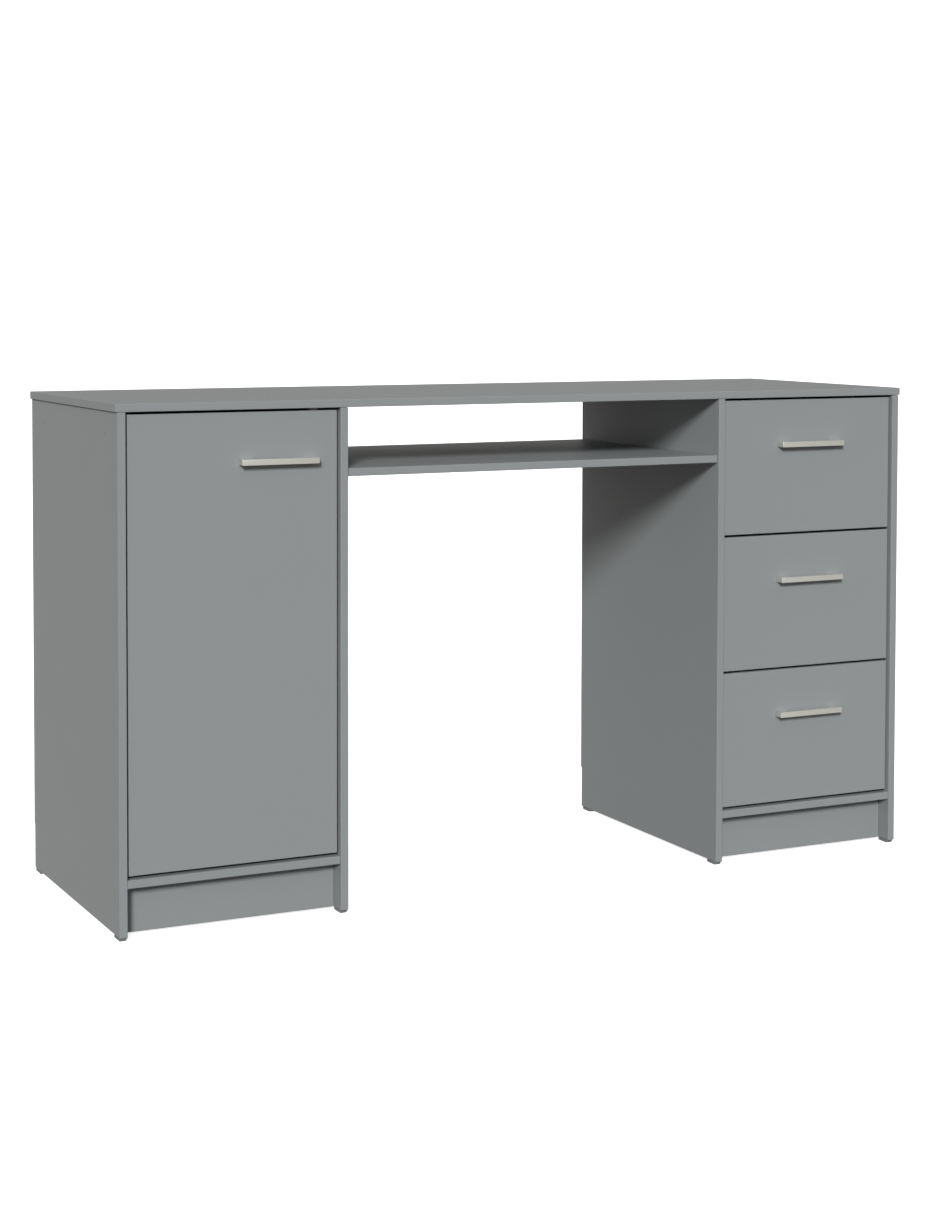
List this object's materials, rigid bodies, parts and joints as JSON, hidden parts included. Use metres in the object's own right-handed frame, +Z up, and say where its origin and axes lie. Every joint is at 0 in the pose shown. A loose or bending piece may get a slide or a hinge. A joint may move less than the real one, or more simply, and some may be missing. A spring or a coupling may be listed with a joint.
{
  "type": "writing desk",
  "caption": "Twin-pedestal writing desk in grey board: a cupboard with a hinged door, an open shelf over the knee space and a stack of inset drawers with bar handles.",
  "frame": {"origin": "on the floor, under the middle of the desk's bounding box, handles included", "axes": "+X to the right along the desk's width as its user faces it, +Y from the front to the back, +Z up"},
  "size_m": [1.365, 0.4576, 0.77],
  "materials": {
    "grey_melamine": "satin melamine foil on particleboard, plain mid grey",
    "drawer_melamine": "satin melamine foil on particleboard, inside of the drawers",
    "grey_hardboard": "painted hardboard, smooth on one side",
    "satin_nickel": "satin nickel",
    "zinc_steel": "zinc plated steel",
    "grey_plastic": "moulded plastic",
    "black_plastic": "smooth extruded plastic",
    "white_plastic": "moulded plastic"
  },
  "bodies": {
    "carcass": {"desk_top": "grey_melamine", "left_outer_side": "grey_melamine", "left_inner_side": "grey_melamine", "right_inner_side": "grey_melamine", "right_outer_side": "grey_melamine", "left_bottom_panel": "grey_melamine", "right_bottom_panel": "grey_melamine", "left_plinth": "grey_melamine", "right_plinth": "grey_melamine", "left_back_panel": "grey_hardboard", "right_back_panel": "grey_hardboard", "middle_shelf": "grey_melamine", "cupboard_shelf": "grey_melamine", "foot_left_outer_front": "grey_plastic", "foot_left_outer_rear": "grey_plastic", "foot_left_inner_front": "grey_plastic", "foot_left_inner_rear": "grey_plastic", "foot_right_inner_front": "grey_plastic", "foot_right_inner_rear": "grey_plastic", "foot_right_outer_front": "grey_plastic", "foot_right_outer_rear": "grey_plastic", "shelf_pin_left_front": "zinc_steel", "shelf_pin_left_rear": "zinc_steel", "shelf_pin_right_front": "zinc_steel", "shelf_pin_right_rear": "zinc_steel", "runner_1_left": "black_plastic", "runner_1_right": "black_plastic", "runner_2_left": "black_plastic", "runner_2_right": "black_plastic", "runner_3_left": "black_plastic", "runner_3_right": "black_plastic", "upper_hinge_arm": "zinc_steel", "lower_hinge_arm": "zinc_steel", "door_catch": "white_plastic"},
    "door": {"door": "grey_melamine", "door_handle": "satin_nickel", "upper_hinge_cup": "zinc_steel", "upper_hinge_pin": "zinc_steel", "lower_hinge_cup": "zinc_steel", "lower_hinge_pin": "zinc_steel", "catch_striker": "zinc_steel"},
    "drawer_1": {"drawer_1_front": "grey_melamine", "drawer_1_handle": "satin_nickel", "drawer_1_left_side": "drawer_melamine", "drawer_1_right_side": "drawer_melamine", "drawer_1_back": "drawer_melamine", "drawer_1_bottom": "grey_hardboard"},
    "drawer_2": {"drawer_2_front": "grey_melamine", "drawer_2_handle": "satin_nickel", "drawer_2_left_side": "drawer_melamine", "drawer_2_right_side": "drawer_melamine", "drawer_2_back": "drawer_melamine", "drawer_2_bottom": "grey_hardboard"},
    "drawer_3": {"drawer_3_front": "grey_melamine", "drawer_3_handle": "satin_nickel", "drawer_3_left_side": "drawer_melamine", "drawer_3_right_side": "drawer_melamine", "drawer_3_back": "drawer_melamine", "drawer_3_bottom": "grey_hardboard"}
  },
  "joints": [
    {"name": "door_hinge", "type": "hinge", "parent": "carcass", "child": "door", "pos_m": [-0.6467, -0.20475, 0.42335], "axis": [0, 0, -1], "range_deg": [0, 100]},
    {"name": "drawer_1_slide", "type": "slide", "parent": "carcass", "child": "drawer_1", "axis": [0, -1, 0], "range_m": [0, 0.3]},
    {"name": "drawer_2_slide", "type": "slide", "parent": "carcass", "child": "drawer_2", "axis": [0, -1, 0], "range_m": [0, 0.3]},
    {"name": "drawer_3_slide", "type": "slide", "parent": "carcass", "child": "drawer_3", "axis": [0, -1, 0], "range_m": [0, 0.3]}
  ]
}
